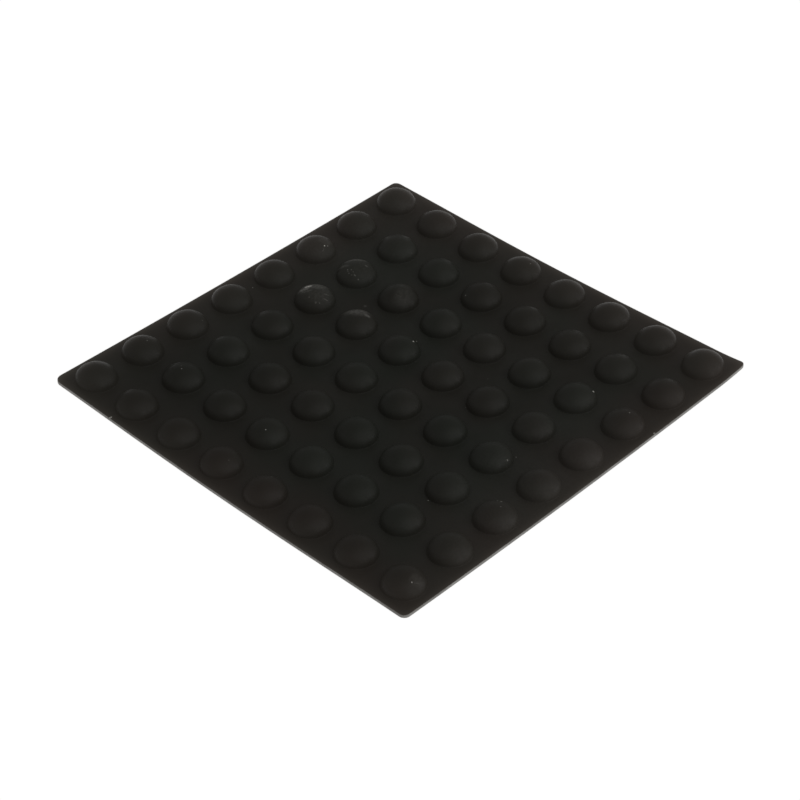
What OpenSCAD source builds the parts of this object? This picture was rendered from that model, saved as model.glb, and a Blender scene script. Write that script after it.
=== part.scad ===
// Moulded rubber bumper sheet: a thin square web that carries a square grid
// of domed feet, all of them moulded in one piece with the web.
// The web lies flat on its underside. Sizes are in millimetres, and the origin
// is under the middle of the web.

/* [Domes] */
// Number of domes along X
dome_columns = 8; // [1:1:10]
// Number of domes along Y
dome_rows = 8; // [1:1:10]
// Distance from the middle of one dome to the middle of the next
dome_pitch = 13.3; // [12:0.1:20]
// Diameter of a dome at its foot, before the fillet
dome_diameter = 9.5; // [7:0.1:11]
// Height of a dome above the web
dome_height = 3.6; // [3:0.1:5]
// Radius of a dome's shoulder, where its side turns into its flatter crown
shoulder_radius = 2.8; // [1:0.1:2.9]
// Radius of the fillet between a dome and the web
foot_fillet = 0.1; // [0.05:0.05:0.4]

/* [Web] */
// Thickness of the web under and between the domes
web_thickness = 0.6; // [0.4:0.1:3]
// Web beyond the first column of dome middles, towards -X
margin_left = 6.65; // [6:0.05:12]
// Web beyond the last column of dome middles, towards +X
margin_right = 6.65; // [6:0.05:12]
// Web beyond the first row of dome middles, towards -Y
margin_front = 6.65; // [6:0.05:12]
// Web beyond the last row of dome middles, towards +Y
margin_back = 6.65; // [6:0.05:12]
// Radius of the web's four corners
corner_radius = 2; // [0.5:0.5:6]

/* [Hidden] */
$fn = 64;

// The whole sheet
sheet_length = margin_left + (dome_columns - 1) * dome_pitch + margin_right;
sheet_width = margin_front + (dome_rows - 1) * dome_pitch + margin_back;
first_dome_x = margin_left - sheet_length / 2;
first_dome_y = margin_front - sheet_width / 2;

// A dome is a flattened arch turned about its axis: a shoulder at the side and
// a crown of larger radius on top. One that is taller than half its diameter
// stands on a straight skirt.
foot_radius = dome_diameter / 2;
arch_height = min(dome_height, foot_radius);
skirt_height = dome_height - arch_height;

// The shoulder's circle stands upright on the skirt, and the crown's circle
// touches it from outside
shoulder_reach = foot_radius - shoulder_radius;
crown_radius = (pow(shoulder_reach, 2) + pow(arch_height, 2) - pow(shoulder_radius, 2))
    / (2 * (arch_height - shoulder_radius));

// Radius from the axis at which the shoulder meets the crown
crown_reach = shoulder_reach * crown_radius / (crown_radius - shoulder_radius);

// The fillet's circle touches both the dome and the web. These are how far its
// middle stands above the skirt, its distance from the dome's axis and the
// height above the web where it meets the dome.
fillet_rise = max(0, foot_fillet - skirt_height);
fillet_reach = shoulder_reach + sqrt(pow(shoulder_radius + foot_fillet, 2) - pow(fillet_rise, 2));
fillet_top = foot_fillet - fillet_rise * foot_fillet / (shoulder_radius + foot_fillet);

// Outline of the web, with its rounded corners
module web_outline() {
    inner_length = sheet_length - 2 * corner_radius;
    inner_width = sheet_width - 2 * corner_radius;
    square([sheet_length, inner_width], center = true);
    square([inner_length, sheet_width], center = true);
    for (x = [-1, 1], y = [-1, 1])
        translate([x * inner_length / 2, y * inner_width / 2])
            circle(r = corner_radius);
}

module web() {
    linear_extrude(web_thickness) web_outline();
}

// Half section under the crown's arc
module crown_section() {
    intersection() {
        translate([0, web_thickness + dome_height - crown_radius]) circle(r = crown_radius);
        square([crown_reach, web_thickness + dome_height]);
    }
}

// Half section of the shoulder and of the skirt under it
module shoulder_section() {
    intersection() {
        translate([shoulder_reach, web_thickness + skirt_height]) circle(r = shoulder_radius);
        translate([0, web_thickness + skirt_height]) square([foot_radius, shoulder_radius]);
    }
    square([foot_radius, web_thickness + skirt_height]);
}

// Half section of the foot, whose side is hollowed by the fillet's circle
module foot_section() {
    difference() {
        square([fillet_reach, web_thickness + fillet_top]);
        translate([fillet_reach, web_thickness + foot_fillet]) circle(r = foot_fillet);
    }
}

// One domed foot, from the web's underside to its crown
module dome() {
    rotate_extrude() {
        crown_section();
        shoulder_section();
        foot_section();
    }
}

module bumper_sheet() {
    color([0.11, 0.11, 0.1]) {
        web();
        for (column = [0 : dome_columns - 1], row = [0 : dome_rows - 1])
            translate([first_dome_x + column * dome_pitch, first_dome_y + row * dome_pitch, 0])
                dome();
    }
}

bumper_sheet();
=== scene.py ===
"""Looks of a moulded rubber bumper sheet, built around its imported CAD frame."""

import math
from collections import namedtuple

import bpy
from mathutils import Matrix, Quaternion, Vector


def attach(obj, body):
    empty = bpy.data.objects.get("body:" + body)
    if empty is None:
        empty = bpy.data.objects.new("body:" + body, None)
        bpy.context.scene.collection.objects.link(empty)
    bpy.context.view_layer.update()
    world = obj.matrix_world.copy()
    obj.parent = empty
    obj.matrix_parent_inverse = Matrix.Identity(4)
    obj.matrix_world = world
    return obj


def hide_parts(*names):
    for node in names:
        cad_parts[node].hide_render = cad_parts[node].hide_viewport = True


MM = 0.001

# The grid of domes, in millimetres
COLUMNS = 8
ROWS = 8
PITCH = 13.3
DOME_DIAMETER = 9.5
DOME_HEIGHT = 3.6
SHOULDER_RADIUS = 2.8
FOOT_FILLET = 0.1

# The web, in millimetres
WEB_THICKNESS = 0.6
MARGIN = 6.65
EDGE_ROUNDING = 0.09

# Radius of each corner of the web, by its side along X and along Y, as the knife left it
CORNER_RADIUS = {(-1, -1): 1.5, (1, -1): 1.3, (1, 1): 1.5, (-1, 1): 2.1}

# The web's size and the middle of the first dome
LENGTH = 2 * MARGIN + (COLUMNS - 1) * PITCH
WIDTH = 2 * MARGIN + (ROWS - 1) * PITCH
FIRST_X = MARGIN - LENGTH / 2
FIRST_Y = MARGIN - WIDTH / 2

# How the lying sheet curls, in millimetres at its border. The first is the rise of its sides at -X and +X.
CURL_X = 0.55
# Rise of the sides at -Y and +Y, and how much of it is lost because the sheet flattens out towards them
CURL_Y = 1.5
CURL_FLATTENING = -0.61
# Rise of the corners where X and Y have the same sign, by which the other two sink
CURL_TWIST = -0.69
# Rise of the side at +Y, by which the side at -Y sinks
CURL_LEAN = 0.12
# Rise of the two corners at +X, by which those at -X sink
CURL_SKEW = 0.16

# The last stretch of the corner at +X and -Y turns up a little more
TIP_RISE = 0.5
TIP_REACH = 9.0

# How far the middle of each side bows outwards, in millimetres
SIDE_BOW = 0.15

# How far the underside bulges down at the cut edge, and how far inwards that shows, in millimetres
EDGE_BULGE = 0.1
EDGE_BULGE_REACH = 5.0

# How finely the mesh is cut. A dome's cell has the same number of points on its outline as on its rings.
SEGMENTS = 56
SHOULDER_RINGS = 7
CROWN_RINGS = 6
FILLET_RINGS = 2
WEB_RINGS = 2
CORNER_STEPS = 4
EDGE_STEPS = 3

# Places that lie closer together than this many millimetres are one
CLOSE = 0.0001
CLOSE_DIGITS = 4

# The camera, in millimetres and degrees
CAMERA_PLACE = (-308.5, -308.7, 347.3)
CAMERA_AIM = (-5.04, -4.99, 0.6)
CAMERA_ROLL = -1.15
CAMERA_LENS = 115.2
CAMERA_SENSOR = 36.0
CAMERA_NEAR = 10
CAMERA_FAR = 10000

# The direction in which the camera looks, seen from above, in degrees anticlockwise from +X
CAMERA_HEADING = 45

# The rubber's colours: its skin, which is cool or warm in places, a darker one for painted shade over one
# corner, and dust
RUBBER_COOL = (0.0095, 0.0111, 0.0088, 1)
RUBBER_WARM = (0.0114, 0.0092, 0.0075, 1)
RUBBER_PAINTED_SHADE = (0.0055, 0.0062, 0.0048, 1)
DUST_COLOUR = (0.4, 0.39, 0.36, 1)

# Width of the warm border along the sheet's sides, and how much of its colour is the warm one
WARM_BORDER = 20
WARM_BORDER_SHARE = 0.7

# The rubber's gloss, and how much rougher it is where dust hides it
RUBBER_GLOSS = 0.085
DUST_ROUGHNESS = 0.4

# The moulded grain, in millimetres, its strength, and the depth of a scuff beside that of the grain
GRAIN_SIZE = 0.25
GRAIN_DETAIL = 3
GRAIN_DEPTH = 0.02
GRAIN_STRENGTH = 0.25
SCUFF_DEPTH = 1.5

# A mottle is soft noise with patches of some millimetres and some levels of finer detail. Its values from
# low to high are carried to values from least to most.
Mottle = namedtuple("Mottle", "size detail low high least most")
FILM_MOTTLE = Mottle(size=0.5, detail=4, low=0.35, high=0.65, least=0.6, most=1.4)
SCUFF_MOTTLE = Mottle(size=0.3, detail=3, low=0.3, high=0.6, least=0.4, most=1.0)
HAZE_MOTTLE = Mottle(size=14, detail=3, low=0.35, high=0.75, least=0.0, most=0.008)
WARM_MOTTLE = Mottle(size=22, detail=2, low=0.35, high=0.65, least=0.0, most=0.5)
ROUGHNESS_MOTTLE = Mottle(size=3, detail=3, low=0.3, high=0.7, least=0.43, most=0.53)

# The finest specks lie strewn in cells of some millimetres. Only a share of the cells has one.
SPECK_SPACING = 2.6
SPECK_SHARE = 0.1
SPECK_RADIUS = 0.16
SPECK_CORE = 0.3
SPECK_STRENGTH = 0.3

# The outlines of films run unevenly: the size of their waves and how far those reach, in millimetres
WAVE_SIZE = 1.5
WAVE_DETAIL = 2
WAVE_REACH = 0.35

# The cut side of the web, paler than the moulded skin as painted reflection of the white floor, with wide
# patches and with fine streaks along it
CUT_DARK_WITH_REFLECTION = (0.13, 0.128, 0.122, 1)
CUT_PALE_WITH_REFLECTION = (0.21, 0.207, 0.2, 1)
CUT_ROUGHNESS = 0.8
CUT_PATCH_SIZE = 6
CUT_PATCH_DETAIL = 3
CUT_PATCH_SHARE = 0.6
CUT_STREAK_SIZE = 0.5
CUT_STREAK_FLATNESS = 0.2
CUT_STREAK_DETAIL = 2
CUT_CONTRAST = (0.35, 0.65)
CUT_GRAIN_STRENGTH = 0.4

# The sheet's materials, in the order of its slots
PLAIN, WORN, CUT = range(3)

# The domes with the most marks, by column and row. They have a material of their own, because one with
# the marks of the whole sheet would be too large to render.
WORN_DOMES = {(4, 5), (4, 6), (5, 5), (5, 6), (5, 7)}

# Marks on the sheet, each an oval with the column and row of its dome, its place from the dome's axis, its
# half length and half width in millimetres, its turn in degrees and its strength. This one is painted
# shade: a darker patch over the corner at -X and +Y, where the light falls off.
PAINTED_SHADE_PATCH = (0, 7, 0.0, 0.0, 62.0, 48.0, -45, 0.8)
# These are wide thin hazes.
HAZES = (
    (3, 0, 0.0, -1.0, 44.0, 24.0, 0, 0.008),
    (6, 6, 0.0, 4.0, 30.0, 20.0, 0, 0.006),
)
# These are films of pale dust.
# Where these films and the thin marks below run along a worn dome's rim, part of their paleness is painted
# sheen of dust in grazing light
FILMS = (
    (4, 6, 0.3, -0.5, 4.6, 4.4, -42, 0.028),
    (4, 6, 1.5, 1.5, 4.2, 2.8, -45, 0.09),
    (4, 6, -1.0, 2.1, 2.0, 1.1, -35, 0.22),
    (4, 5, 1.4, 1.2, 4.0, 2.6, -54, 0.085),
    (5, 6, 0.0, 0.3, 5.6, 5.6, 0, 0.011),
    (5, 6, 2.0, 1.8, 3.8, 1.8, -45, 0.1),
    (5, 6, -2.0, 2.3, 2.0, 0.6, -62, 0.08),
    (5, 7, -0.5, -0.4, 5.6, 5.6, 0, 0.012),
    (5, 7, 1.6, -1.4, 2.4, 2.0, -40, 0.03),
    (5, 5, 2.4, 0.4, 2.2, 2.2, 0, 0.02),
    (5, 5, -0.6, -1.9, 3.4, 2.4, 0, 0.022),
    (5, 5, -6.4, 4.0, 0.6, 0.5, 0, 0.07),
    (0, 0, 0.8, -2.8, 2.0, 1.7, 0, 0.02),
)
# These are scuffs, scratches and specks.
SCUFFS = (
    (4, 6, 0.15, 2.1, 1.1, 0.5, -36, 0.9),
    (4, 6, -1.2, 2.2, 1.0, 0.3, -30, 0.25),
    (4, 6, -1.7, 1.7, 1.2, 0.12, -15, 0.22),
    (4, 6, -1.5, 1.0, 1.1, 0.1, -30, 0.18),
    (4, 6, -1.1, 0.5, 0.9, 0.1, -20, 0.14),
    (4, 6, -2.4, -0.7, 0.22, 0.2, 0, 0.14),
    (4, 6, -2.2, -2.6, 0.3, 0.24, 0, 0.1),
    (4, 6, -1.6, -3.2, 0.16, 0.16, 0, 0.12),
    (4, 6, 1.2, -2.6, 0.8, 0.12, -40, 0.15),
    (4, 6, 0.1, -3.4, 0.7, 0.12, -50, 0.15),
    (4, 5, 1.9, -1.5, 0.9, 0.5, -60, 0.16),
    (5, 6, -2.4, 0.4, 0.16, 0.14, 0, 0.3),
    (5, 6, -2.7, 0.0, 0.12, 0.12, 0, 0.2),
    (5, 6, -2.0, -0.4, 0.16, 0.14, 0, 0.28),
    (5, 6, -2.9, -0.5, 0.14, 0.14, 0, 0.2),
    (5, 6, -2.1, -1.1, 0.12, 0.12, 0, 0.18),
    (5, 6, -2.8, -1.3, 0.12, 0.12, 0, 0.16),
    (5, 6, -2.4, -1.9, 0.14, 0.3, 0, 0.2),
    (5, 6, -2.4, -3.0, 0.17, 0.16, 0, 0.22),
    (5, 6, 1.5, -1.7, 0.5, 0.25, -40, 0.12),
    (5, 7, 0.4, -2.5, 0.22, 0.16, 0, 0.9),
    (5, 7, 1.1, -2.8, 0.18, 0.14, 0, 0.35),
    (5, 7, -0.8, -3.2, 0.2, 0.12, 0, 0.15),
    (5, 7, -0.4, -3.0, 0.14, 0.12, 0, 0.3),
    (5, 5, -1.4, -1.5, 1.1, 0.1, -72, 0.07),
    (4, 4, 2.8, -1.7, 0.26, 0.22, 0, 1.0),
    (4, 4, 5.6, 0.1, 0.16, 0.14, 0, 0.5),
    (5, 1, 2.9, -2.5, 0.28, 0.24, 0, 1.0),
    (3, 1, 0.6, -4.0, 0.16, 0.16, 0, 0.6),
    (5, 0, 1.2, -0.7, 0.16, 0.14, 0, 0.5),
    (1, 4, -1.4, -1.1, 0.16, 0.14, 0, 0.5),
    (2, 1, -4.9, 0.8, 0.18, 0.16, 0, 0.6),
    (1, 6, -0.4, -0.2, 0.2, 0.14, 0, 0.35),
    (1, 6, 0.2, 0.6, 0.14, 0.14, 0, 0.2),
    (4, 7, -6.3, 0.6, 0.16, 0.14, 0, 0.5),
    (1, 7, 0.9, -0.8, 0.16, 0.14, 0, 0.3),
    (6, 4, -3.3, 1.8, 0.16, 0.14, 0, 0.4),
    (7, 4, 1.1, -1.9, 0.16, 0.14, 0, 0.3),
    (2, 0, 2.1, 1.3, 0.14, 0.14, 0, 0.4),
    (1, 5, 1.9, 2.3, 0.16, 0.14, 0, 0.3),
    (2, 0, 2.4, 0.5, 0.2, 0.16, 0, 0.7),
    (2, 0, 0.8, -0.8, 0.14, 0.14, 0, 0.3),
    (0, 6, -6.45, 1.35, 0.6, 0.25, 0, 0.8),
    (5, 0, 2.65, -6.45, 0.3, 0.25, 0, 0.6),
    (0, 0, -0.5, -2.8, 0.16, 0.14, 0, 0.7),
    (0, 0, 0.3, -3.4, 0.9, 0.1, -30, 0.06),
)

# Share of a mark's oval, from its middle outwards, that has the mark's full strength
PAINTED_SHADE_CORE = 0.0
FILM_CORE = 0.35
SCUFF_CORE = 0.6

# Depth of a mark's oval in metres, so large that a mark lies the same on a dome as on the web
OVAL_DEPTH = 1000

# The studio: how far the floor reaches, in metres, its white, and the strength of the light all round
FLOOR_REACH = 4.0
WHITE = 1.02
WORLD_LIGHT = 0.35

# Its wide soft lights, each with its turn clockwise from straight beyond the part, as the camera sees it,
# its rise and its spread, in degrees, and its strength
SUNS = (
    ("low_right", 90, 12, 22, 0.34),
    ("low_front_right", 135, 12, 22, 0.34),
    ("right", 90, 35, 30, 0.34),
    ("front_right", 135, 35, 30, 0.39),
    ("high_right", 120, 60, 30, 0.26),
    ("high_front", 180, 60, 30, 0.19),
    ("front_left", 225, 35, 30, 0.06),
    ("left", 270, 35, 30, 0.09),
)

# The lens's glare: how far each veil spreads, in pixels, and its share of the light
GLARE = ((12, 0.027), (36, 0.006), (105, 0.008), (500, 0.004))
GLARE_TINT = (1.15, 1.0, 0.85, 1)

# The picture's softness, in pixels
SOFTNESS = 1

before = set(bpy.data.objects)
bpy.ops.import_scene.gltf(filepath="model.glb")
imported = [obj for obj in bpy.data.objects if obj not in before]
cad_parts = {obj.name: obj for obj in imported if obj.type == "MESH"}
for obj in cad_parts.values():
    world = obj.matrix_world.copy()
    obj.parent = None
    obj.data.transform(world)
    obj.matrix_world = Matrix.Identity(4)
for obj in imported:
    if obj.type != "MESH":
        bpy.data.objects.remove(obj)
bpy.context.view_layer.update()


def same(*lengths):
    """Lengths rounded off, so that two that are meant to be the same compare as equal."""
    return tuple(round(length, CLOSE_DIGITS) for length in lengths)


class Builder:
    """Collects the points and faces of one mesh, with one point at each place."""

    def __init__(self):
        self.points = []
        self.faces = []
        self.materials = []
        self.known = {}

    def point(self, x, y, z):
        key = same(x, y, z)
        if key not in self.known:
            self.known[key] = len(self.points)
            self.points.append((x, y, z))
        return self.known[key]

    def strip(self, outer, inner, material):
        """Joins two closed rings of points, each listed anticlockwise from where the faces look."""
        for n in range(len(outer)):
            following = (n + 1) % len(outer)
            self.faces.append((outer[n], outer[following], inner[following], inner[n]))
            self.materials.append(material)

    def fan(self, ring, middle, material):
        """Joins a closed ring of points to one in its middle."""
        for n in range(len(ring)):
            self.faces.append((ring[n], ring[(n + 1) % len(ring)], middle))
            self.materials.append(material)


def dome_profile():
    """Radius and height above the web of each ring of a dome, from its foot to its crown."""
    shoulder_reach = DOME_DIAMETER / 2 - SHOULDER_RADIUS
    rise = DOME_HEIGHT - SHOULDER_RADIUS
    crown_radius = (shoulder_reach ** 2 + DOME_HEIGHT ** 2 - SHOULDER_RADIUS ** 2) / (2 * rise)
    crown_middle = DOME_HEIGHT - crown_radius
    meeting = math.atan2(-crown_middle, shoulder_reach)
    fillet_reach = shoulder_reach + math.sqrt((SHOULDER_RADIUS + FOOT_FILLET) ** 2 - FOOT_FILLET ** 2)
    fillet_turn = math.atan2(FOOT_FILLET, fillet_reach - shoulder_reach)
    rings = []
    for n in range(FILLET_RINGS):
        turn = (math.pi / 2 - fillet_turn) * n / FILLET_RINGS
        rings.append((fillet_reach - FOOT_FILLET * math.sin(turn), FOOT_FILLET * (1 - math.cos(turn))))
    for n in range(SHOULDER_RINGS):
        turn = fillet_turn + (meeting - fillet_turn) * n / SHOULDER_RINGS
        rings.append((shoulder_reach + SHOULDER_RADIUS * math.cos(turn), SHOULDER_RADIUS * math.sin(turn)))
    for n in range(CROWN_RINGS):
        turn = meeting + (math.pi / 2 - meeting) * n / CROWN_RINGS
        rings.append((crown_radius * math.cos(turn), crown_middle + crown_radius * math.sin(turn)))
    return rings


def lift(x, y):
    """Height in millimetres by which the lying sheet rises from flat."""
    u = 2 * x / LENGTH
    v = 2 * y / WIDTH
    bowl = CURL_X * u ** 2 + CURL_Y * v ** 2 + CURL_FLATTENING * v ** 4
    tip = max(0.0, 1 - math.hypot(LENGTH / 2 - x, WIDTH / 2 + y) / TIP_REACH)
    return bowl + CURL_TWIST * u * v + CURL_LEAN * v ** 3 + CURL_SKEW * u * v ** 2 + TIP_RISE * tip ** 2


def bulge(x, y):
    """Depth in millimetres by which the underside bulges down near the cut edge."""
    inside = min(LENGTH / 2 - abs(x), WIDTH / 2 - abs(y))
    return EDGE_BULGE * min(1.0, max(0.0, 1 - inside / EDGE_BULGE_REACH)) ** 2


def bow(place, reach):
    """How far a side bows out at some place along it, from nothing at its ends."""
    return SIDE_BOW * max(0.0, 1 - (place / reach) ** 2)


def rounded(x, y, inset):
    """Moves a point of the sheet's square outline onto its rounded outline, inset by some millimetres."""
    on_x = abs(abs(x) - LENGTH / 2) < CLOSE
    on_y = abs(abs(y) - WIDTH / 2) < CLOSE
    if not (on_x or on_y):
        return x, y
    radius = CORNER_RADIUS[(1 if x > 0 else -1, 1 if y > 0 else -1)]
    core_x = LENGTH / 2 - radius
    core_y = WIDTH / 2 - radius
    over_x = abs(x) - core_x
    over_y = abs(y) - core_y
    if over_x > CLOSE and over_y > CLOSE:
        reach = (radius - inset) / math.hypot(over_x, over_y)
        return math.copysign(core_x + over_x * reach, x), math.copysign(core_y + over_y * reach, y)
    if on_x:
        return math.copysign(LENGTH / 2 - inset + bow(y, core_y), x), y
    return x, math.copysign(WIDTH / 2 - inset + bow(x, core_x), y)


def side_places(low, high, radius, end):
    """Places along one side of a cell, closer together at the end where a corner of some radius lies."""
    steps = SEGMENTS // 4
    if not radius:
        return [low + (high - low) * n / steps for n in range(steps + 1)]
    if end > 0:
        mirrored = side_places(-high, -low, radius, -end)
        return [-place for place in reversed(mirrored)]
    bend = low + radius
    straight_steps = steps - CORNER_STEPS
    turns = [math.pi / 4 * (1 - n / CORNER_STEPS) for n in range(CORNER_STEPS)]
    corner = [low + radius * (1 - math.tan(turn)) for turn in turns]
    straight = [bend + (high - bend) * n / straight_steps for n in range(straight_steps + 1)]
    return corner + straight


def dome_middle(column, row):
    return FIRST_X + column * PITCH, FIRST_Y + row * PITCH


def cell_loop(column, row):
    """Square outline of one dome's cell, anticlockwise from its low corner, without rounding."""
    x, y = dome_middle(column, row)
    side_x = {0: -1, COLUMNS - 1: 1}.get(column, 0)
    side_y = {0: -1, ROWS - 1: 1}.get(row, 0)
    radius = CORNER_RADIUS.get((side_x, side_y), 0)
    low_x = -LENGTH / 2 if side_x < 0 else x - PITCH / 2
    high_x = LENGTH / 2 if side_x > 0 else x + PITCH / 2
    low_y = -WIDTH / 2 if side_y < 0 else y - PITCH / 2
    high_y = WIDTH / 2 if side_y > 0 else y + PITCH / 2
    front = side_places(low_x, high_x, radius if side_y < 0 else 0, side_x)
    right = side_places(low_y, high_y, radius if side_x > 0 else 0, side_y)
    back = side_places(low_x, high_x, radius if side_y > 0 else 0, side_x)
    left = side_places(low_y, high_y, radius if side_x < 0 else 0, side_y)
    loop = [(place, low_y) for place in front[:-1]]
    loop += [(high_x, place) for place in right[:-1]]
    loop += [(place, high_y) for place in reversed(back[1:])]
    loop += [(low_x, place) for place in reversed(left[1:])]
    return loop


def sheet_outline():
    """The sheet's square outline, anticlockwise, with a place wherever a cell has one."""
    places = {}
    for column in range(COLUMNS):
        for row in range(ROWS):
            for x, y in cell_loop(column, row):
                if abs(x) > LENGTH / 2 - CLOSE or abs(y) > WIDTH / 2 - CLOSE:
                    places[same(x, y)] = (x, y)
    return sorted(places.values(), key=lambda place: math.atan2(place[1], place[0]))


def circle(x, y, radius):
    """Places on a circle, anticlockwise from the direction of the cell's low corner."""
    turns = [math.radians(-135) + 2 * math.pi * n / SEGMENTS for n in range(SEGMENTS)]
    return [(x + radius * math.cos(turn), y + radius * math.sin(turn)) for turn in turns]


def add_cell(mesh, profile, column, row):
    """Adds one dome and the web around it, and the underside below them."""
    x, y = dome_middle(column, row)
    material = WORN if (column, row) in WORN_DOMES else PLAIN
    outer = [rounded(px, py, EDGE_ROUNDING) for px, py in cell_loop(column, row)]
    foot = circle(x, y, profile[0][0])
    rings = [[mesh.point(px, py, WEB_THICKNESS) for px, py in outer]]
    for n in range(1, WEB_RINGS + 1):
        part = n / (WEB_RINGS + 1)
        rings.append([mesh.point(ox + (fx - ox) * part, oy + (fy - oy) * part, WEB_THICKNESS)
                      for (ox, oy), (fx, fy) in zip(outer, foot)])
    for radius, height in profile:
        rings.append([mesh.point(px, py, WEB_THICKNESS + height) for px, py in circle(x, y, radius)])
    for wide, narrow in zip(rings, rings[1:]):
        mesh.strip(wide, narrow, material)
    mesh.fan(rings[-1], mesh.point(x, y, WEB_THICKNESS + DOME_HEIGHT), material)
    under = [mesh.point(px, py, 0) for px, py in reversed(outer)]
    under_foot = [mesh.point(px, py, 0) for px, py in reversed(foot)]
    mesh.strip(under, under_foot, PLAIN)
    mesh.fan(under_foot, mesh.point(x, y, 0), PLAIN)


def add_side(mesh):
    """Adds the cut side of the web, with its upper and lower edges lightly rounded."""
    turns = [math.pi / 2 * n / EDGE_STEPS for n in range(EDGE_STEPS + 1)]
    steps = [(EDGE_ROUNDING * (1 - math.sin(turn)), EDGE_ROUNDING * (1 - math.cos(turn))) for turn in turns]
    levels = [(inset, WEB_THICKNESS - drop) for inset, drop in steps]
    levels += [(inset, drop) for inset, drop in reversed(steps)]
    outline = sheet_outline()
    rings = [[mesh.point(*rounded(x, y, inset), z) for x, y in outline] for inset, z in levels]
    for upper, lower in zip(rings, rings[1:]):
        mesh.strip(lower, upper, CUT)


def make_sheet():
    """The whole sheet as one closed mesh, curled as it lies."""
    mesh = Builder()
    profile = dome_profile()
    for column in range(COLUMNS):
        for row in range(ROWS):
            add_cell(mesh, profile, column, row)
    add_side(mesh)
    points = []
    for x, y, z in mesh.points:
        lowered = bulge(x, y) if z < WEB_THICKNESS / 2 else 0.0
        points.append((x * MM, y * MM, (z + lift(x, y) - lowered) * MM))
    data = bpy.data.meshes.new("rubber_sheet")
    data.from_pydata(points, [], mesh.faces)
    data.polygons.foreach_set("material_index", mesh.materials)
    data.validate()
    data.polygons.foreach_set("use_smooth", [True] * len(data.polygons))
    sheet = bpy.data.objects.new("rubber_sheet", data)
    bpy.context.scene.collection.objects.link(sheet)
    return sheet


class Nodes:
    """Short calls that add nodes to one node tree. What they take is a plain value or a node's output."""

    def __init__(self, tree):
        self.tree = tree

    def add(self, kind, **settings):
        node = self.tree.nodes.new(kind)
        for name, value in settings.items():
            setattr(node, name, value)
        return node

    def feed(self, socket, value):
        """Links a node's output to a socket, or sets a plain value on it."""
        if isinstance(value, bpy.types.NodeSocket):
            self.tree.links.new(value, socket)
        else:
            socket.default_value = value

    def math(self, operation, first, second=0.0):
        node = self.add("ShaderNodeMath", operation=operation)
        self.feed(node.inputs[0], first)
        self.feed(node.inputs[1], second)
        return node.outputs[0]

    def mix(self, first, second, share):
        """A colour between two, by the second one's share."""
        node = self.add("ShaderNodeMix", data_type="RGBA")
        self.feed(node.inputs["A"], first)
        self.feed(node.inputs["B"], second)
        self.feed(node.inputs["Factor"], share)
        return node.outputs["Result"]

    def ramp(self, value, low, high, least=0.0, most=1.0):
        """Carries a value smoothly from one range to another, and holds it inside the new one."""
        node = self.add("ShaderNodeMapRange", interpolation_type="SMOOTHSTEP")
        self.feed(node.inputs["Value"], value)
        self.feed(node.inputs["From Min"], low)
        self.feed(node.inputs["From Max"], high)
        self.feed(node.inputs["To Min"], least)
        self.feed(node.inputs["To Max"], most)
        return node.outputs["Result"]

    def axes(self, place):
        node = self.add("ShaderNodeSeparateXYZ")
        self.feed(node.inputs[0], place)
        return node.outputs

    def scaled(self, place, sizes):
        """A place counted in cells of some millimetres along X, Y and Z."""
        node = self.add("ShaderNodeMapping")
        self.feed(node.inputs["Vector"], place)
        self.feed(node.inputs["Scale"], [1 / (size * MM) for size in sizes])
        return node.outputs["Vector"]

    def noise(self, place, size, detail, flatness=1.0, output="Fac"):
        """Soft noise with patches of about size millimetres, which may be flatter than that along Z."""
        node = self.add("ShaderNodeTexNoise")
        self.feed(node.inputs["Vector"], self.scaled(place, (size, size, size * flatness)))
        self.feed(node.inputs["Scale"], 1.0)
        self.feed(node.inputs["Detail"], detail)
        return node.outputs[output]

    def mottle(self, place, mottle):
        return self.ramp(self.noise(place, mottle.size, mottle.detail), mottle.low, mottle.high,
                         mottle.least, mottle.most)

    def bump(self, height, strength):
        """The way a surface faces when it is as uneven as the moulded grain."""
        node = self.add("ShaderNodeBump")
        self.feed(node.inputs["Height"], height)
        self.feed(node.inputs["Strength"], strength)
        self.feed(node.inputs["Distance"], GRAIN_DEPTH * MM)
        return node.outputs["Normal"]


def waved(nodes, place):
    """A place moved about by up to the reach of the waves in the outlines of films."""
    # The noise runs from about 0.25 to 0.75, which is carried to minus and plus the reach
    wave = nodes.add("ShaderNodeVectorMath", operation="MULTIPLY_ADD")
    nodes.feed(wave.inputs[0], nodes.noise(place, WAVE_SIZE, WAVE_DETAIL, output="Color"))
    nodes.feed(wave.inputs[1], [4 * WAVE_REACH * MM] * 3)
    nodes.feed(wave.inputs[2], [-2 * WAVE_REACH * MM] * 3)
    moved = nodes.add("ShaderNodeVectorMath", operation="ADD")
    nodes.feed(moved.inputs[0], place)
    nodes.feed(moved.inputs[1], wave.outputs["Vector"])
    return moved.outputs["Vector"]


def oval(nodes, place, mark, core):
    """One mark, as seen straight down on the sheet: at full strength in its core, and then fading out."""
    column, row, x, y, half_length, half_width, turn, strength = mark
    middle_x, middle_y = dome_middle(column, row)
    shape = nodes.add("ShaderNodeMapping", vector_type="TEXTURE")
    nodes.feed(shape.inputs["Vector"], place)
    nodes.feed(shape.inputs["Location"], ((middle_x + x) * MM, (middle_y + y) * MM, 0))
    nodes.feed(shape.inputs["Rotation"], (0, 0, math.radians(turn)))
    nodes.feed(shape.inputs["Scale"], (half_length * MM, half_width * MM, OVAL_DEPTH))
    far = nodes.add("ShaderNodeVectorMath", operation="LENGTH")
    nodes.feed(far.inputs[0], shape.outputs["Vector"])
    return nodes.ramp(far.outputs["Value"], 1.0, core, 0.0, strength)


def strongest(nodes, place, marks, core):
    """The strongest of several marks at each place."""
    total = oval(nodes, place, marks[0], core)
    for mark in marks[1:]:
        total = nodes.math("MAXIMUM", total, oval(nodes, place, mark, core))
    return total


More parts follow.
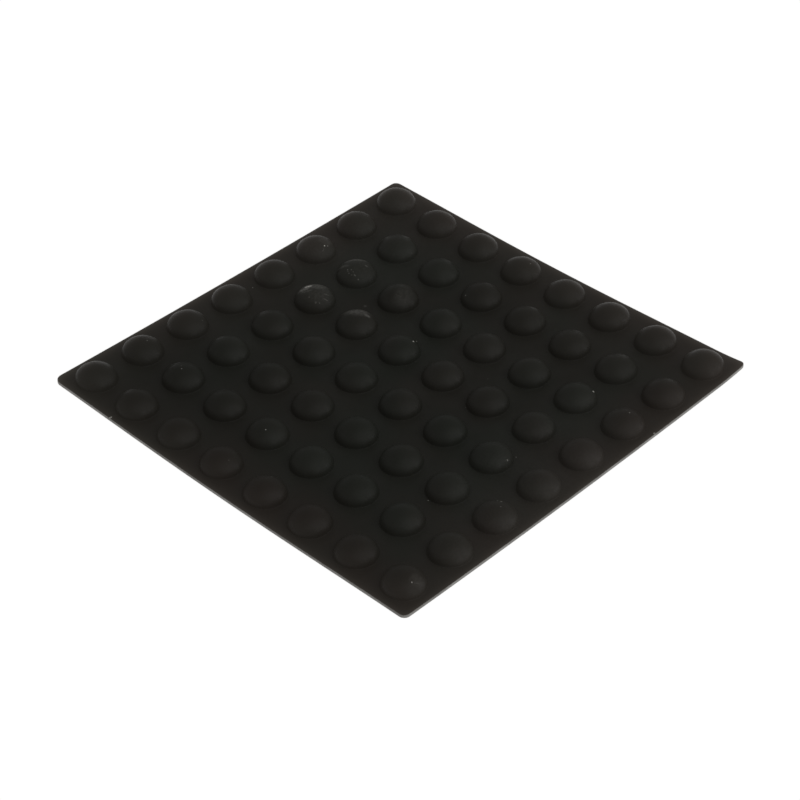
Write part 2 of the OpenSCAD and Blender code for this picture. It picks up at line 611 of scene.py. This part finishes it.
def marks_in(slot, marks):
    """Those marks that lie on the worn domes, or those that lie on all the others."""
    return tuple(mark for mark in marks if (mark[:2] in WORN_DOMES) == (slot == WORN))


def specks(nodes, place):
    """Small round specks of unlike strengths, strewn evenly over the sheet."""
    cells = nodes.add("ShaderNodeTexVoronoi")
    nodes.feed(cells.inputs["Vector"], nodes.scaled(place, [SPECK_SPACING] * 3))
    nodes.feed(cells.inputs["Scale"], 1.0)
    speck = nodes.ramp(cells.outputs["Distance"], SPECK_RADIUS / SPECK_SPACING,
                       SPECK_CORE * SPECK_RADIUS / SPECK_SPACING)
    chances = nodes.add("ShaderNodeSeparateColor")
    nodes.feed(chances.inputs["Color"], cells.outputs["Color"])
    shown = nodes.math("LESS_THAN", chances.outputs["Red"], SPECK_SHARE)
    strength = nodes.math("MULTIPLY", chances.outputs["Green"], SPECK_STRENGTH)
    return nodes.math("MULTIPLY", nodes.math("MULTIPLY", speck, shown), strength)


def haze(nodes, place):
    """A faint haze over the sheet, which fades out towards its side at -X."""
    fade = nodes.ramp(nodes.axes(place)["X"], -LENGTH / 2 * MM, 0.0)
    return nodes.math("MULTIPLY", nodes.mottle(place, HAZE_MOTTLE), fade)


def dust_share(nodes, place, slot, scuffs):
    """How much of the rubber's colour is hidden by films of dust, scuffs, specks and haze."""
    outlines = strongest(nodes, waved(nodes, place), HAZES + marks_in(slot, FILMS), FILM_CORE)
    films = nodes.math("MULTIPLY", outlines, nodes.mottle(place, FILM_MOTTLE))
    dust = nodes.math("MAXIMUM", nodes.math("MAXIMUM", films, scuffs), specks(nodes, place))
    return nodes.math("MINIMUM", nodes.math("ADD", dust, haze(nodes, place)), 1.0)


def bare_colour_and_painted_shade(nodes, place):
    """The rubber's colour: warm in patches and along the sheet's sides, and darker over one corner as
    painted shade.
    """
    axes = nodes.axes(place)
    far = nodes.math("MAXIMUM", nodes.math("ABSOLUTE", axes["X"]), nodes.math("ABSOLUTE", axes["Y"]))
    border = nodes.ramp(far, (LENGTH / 2 - WARM_BORDER) * MM, LENGTH / 2 * MM, 0.0, WARM_BORDER_SHARE)
    warm = nodes.math("ADD", nodes.mottle(place, WARM_MOTTLE), border)
    skin = nodes.mix(RUBBER_COOL, RUBBER_WARM, nodes.math("MINIMUM", warm, 1.0))
    # Painted shade: the corner at -X and +Y is made darker, where the light falls off
    return nodes.mix(skin, RUBBER_PAINTED_SHADE, oval(nodes, place, PAINTED_SHADE_PATCH, PAINTED_SHADE_CORE))


def start_rubber(name):
    """A material with the rubber's gloss: itself, its shader, its nodes and the place on the sheet."""
    material = bpy.data.materials.new(name)
    material.use_nodes = True
    shader = material.node_tree.nodes["Principled BSDF"]
    shader.inputs["Specular IOR Level"].default_value = RUBBER_GLOSS
    nodes = Nodes(material.node_tree)
    place = nodes.add("ShaderNodeTexCoord").outputs["Object"]
    return material, shader, nodes, place


def rubber(name, slot):
    """Matt black moulded rubber with its fine grain, dust and haze, and the marks of one slot."""
    material, shader, nodes, place = start_rubber(name)
    outlines = strongest(nodes, place, marks_in(slot, SCUFFS), SCUFF_CORE)
    scuffs = nodes.math("MULTIPLY", outlines, nodes.mottle(place, SCUFF_MOTTLE))
    dust = dust_share(nodes, place, slot, scuffs)
    nodes.feed(shader.inputs["Base Color"], nodes.mix(bare_colour_and_painted_shade(nodes, place), DUST_COLOUR, dust))

    dusty = nodes.math("MULTIPLY", dust, DUST_ROUGHNESS)
    rough = nodes.math("ADD", nodes.mottle(place, ROUGHNESS_MOTTLE), dusty)
    nodes.feed(shader.inputs["Roughness"], nodes.math("MINIMUM", rough, 1.0))

    grain = nodes.noise(place, GRAIN_SIZE, GRAIN_DETAIL)
    height = nodes.math("SUBTRACT", grain, nodes.math("MULTIPLY", scuffs, SCUFF_DEPTH))
    nodes.feed(shader.inputs["Normal"], nodes.bump(height, GRAIN_STRENGTH))
    return material


def cut_rubber():
    """The web's side, finely streaked by the knife, and paler than the skin as painted reflection of the
    white floor.
    """
    material, shader, nodes, place = start_rubber("cut_rubber")
    patches = nodes.noise(place, CUT_PATCH_SIZE, CUT_PATCH_DETAIL)
    streaks = nodes.noise(place, CUT_STREAK_SIZE, CUT_STREAK_DETAIL, CUT_STREAK_FLATNESS)
    patches = nodes.math("MULTIPLY", patches, CUT_PATCH_SHARE)
    streaks = nodes.math("MULTIPLY", streaks, 1 - CUT_PATCH_SHARE)
    pale = nodes.ramp(nodes.math("ADD", patches, streaks), *CUT_CONTRAST)
    # Painted reflection: both tones are far paler than black rubber, and stand in for the white floor that
    # the side reflects
    nodes.feed(shader.inputs["Base Color"], nodes.mix(CUT_DARK_WITH_REFLECTION, CUT_PALE_WITH_REFLECTION, pale))
    nodes.feed(shader.inputs["Roughness"], CUT_ROUGHNESS)
    nodes.feed(shader.inputs["Normal"], nodes.bump(streaks, CUT_GRAIN_STRENGTH))
    return material


def make_camera():
    data = bpy.data.cameras.new("camera")
    data.lens = CAMERA_LENS
    data.sensor_width = CAMERA_SENSOR
    data.clip_start = CAMERA_NEAR * MM
    data.clip_end = CAMERA_FAR * MM
    camera = bpy.data.objects.new("camera", data)
    bpy.context.scene.collection.objects.link(camera)
    place = Vector(CAMERA_PLACE) * MM
    aim = Vector(CAMERA_AIM) * MM
    look = (aim - place).to_track_quat("-Z", "Y")
    camera.location = place
    camera.rotation_mode = "QUATERNION"
    camera.rotation_quaternion = look @ Quaternion((0, 0, 1), math.radians(CAMERA_ROLL))
    bpy.context.scene.camera = camera


def make_floor():
    """A white sheet of light that the part lies on, as in a cut-out studio picture."""
    corners = [(-1, -1), (1, -1), (1, 1), (-1, 1)]
    data = bpy.data.meshes.new("floor")
    data.from_pydata([(x * FLOOR_REACH, y * FLOOR_REACH, 0) for x, y in corners], [], [(0, 1, 2, 3)])
    floor = bpy.data.objects.new("floor", data)
    bpy.context.scene.collection.objects.link(floor)
    material = bpy.data.materials.new("white_floor")
    material.use_nodes = True
    shader = material.node_tree.nodes["Principled BSDF"]
    shader.inputs["Base Color"].default_value = (0, 0, 0, 1)
    shader.inputs["Specular IOR Level"].default_value = 0
    shader.inputs["Emission Color"].default_value = (1, 1, 1, 1)
    shader.inputs["Emission Strength"].default_value = WHITE
    data.materials.append(material)


def make_world():
    """A dim even light from all round, in whose place the camera sees the same white as the floor."""
    world = bpy.data.worlds.new("studio")
    world.use_nodes = True
    nodes = Nodes(world.node_tree)
    light = world.node_tree.nodes["Background"]
    backdrop = nodes.add("ShaderNodeBackground")
    for background, strength in ((light, WORLD_LIGHT), (backdrop, WHITE)):
        nodes.feed(background.inputs["Color"], (1, 1, 1, 1))
        nodes.feed(background.inputs["Strength"], strength)
    choice = nodes.add("ShaderNodeMixShader")
    nodes.feed(choice.inputs["Fac"], nodes.add("ShaderNodeLightPath").outputs["Is Camera Ray"])
    nodes.feed(choice.inputs[1], light.outputs["Background"])
    nodes.feed(choice.inputs[2], backdrop.outputs["Background"])
    nodes.feed(world.node_tree.nodes["World Output"].inputs["Surface"], choice.outputs["Shader"])
    bpy.context.scene.world = world


def make_sun(name, turn, rise, spread, strength):
    """One wide soft light, whose place is told as in SUNS."""
    data = bpy.data.lights.new(name, "SUN")
    data.energy = strength
    data.angle = math.radians(spread)
    sun = bpy.data.objects.new(name, data)
    bpy.context.scene.collection.objects.link(sun)
    heading = math.radians(CAMERA_HEADING - turn)
    steep = math.radians(rise)
    level = math.cos(steep)
    towards = Vector((math.cos(heading) * level, math.sin(heading) * level, math.sin(steep)))
    sun.rotation_mode = "QUATERNION"
    sun.rotation_quaternion = towards.to_track_quat("Z", "Y")


def blurred(nodes, image, reach):
    blur = nodes.add("CompositorNodeBlur", filter_type="GAUSS", size_x=reach, size_y=reach)
    nodes.feed(blur.inputs["Image"], image)
    return blur.outputs["Image"]


def make_glare():
    """The lens's faint veil: a little of the white around the part spreads over its dark rubber."""
    scene = bpy.context.scene
    scene.use_nodes = True
    scene.node_tree.nodes.clear()
    nodes = Nodes(scene.node_tree)
    clean = nodes.add("CompositorNodeRLayers").outputs["Image"]
    veiled = clean
    for reach, share in GLARE:
        tint = nodes.add("CompositorNodeMixRGB", blend_type="MULTIPLY")
        nodes.feed(tint.inputs[1], blurred(nodes, clean, reach))
        nodes.feed(tint.inputs[2], GLARE_TINT)
        mix = nodes.add("CompositorNodeMixRGB")
        nodes.feed(mix.inputs["Fac"], share)
        nodes.feed(mix.inputs[1], veiled)
        nodes.feed(mix.inputs[2], tint.outputs["Image"])
        veiled = mix.outputs["Image"]
    picture = nodes.add("CompositorNodeComposite")
    nodes.feed(picture.inputs["Image"], blurred(nodes, veiled, SOFTNESS))


make_camera()
make_floor()
make_world()
for sun in SUNS:
    make_sun(*sun)
make_glare()
bpy.context.scene.view_settings.view_transform = "Standard"

sheet = make_sheet()
for material in (rubber("black_rubber", PLAIN), rubber("worn_rubber", WORN), cut_rubber()):
    sheet.data.materials.append(material)
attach(sheet, "root")
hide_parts("bumper_sheet")
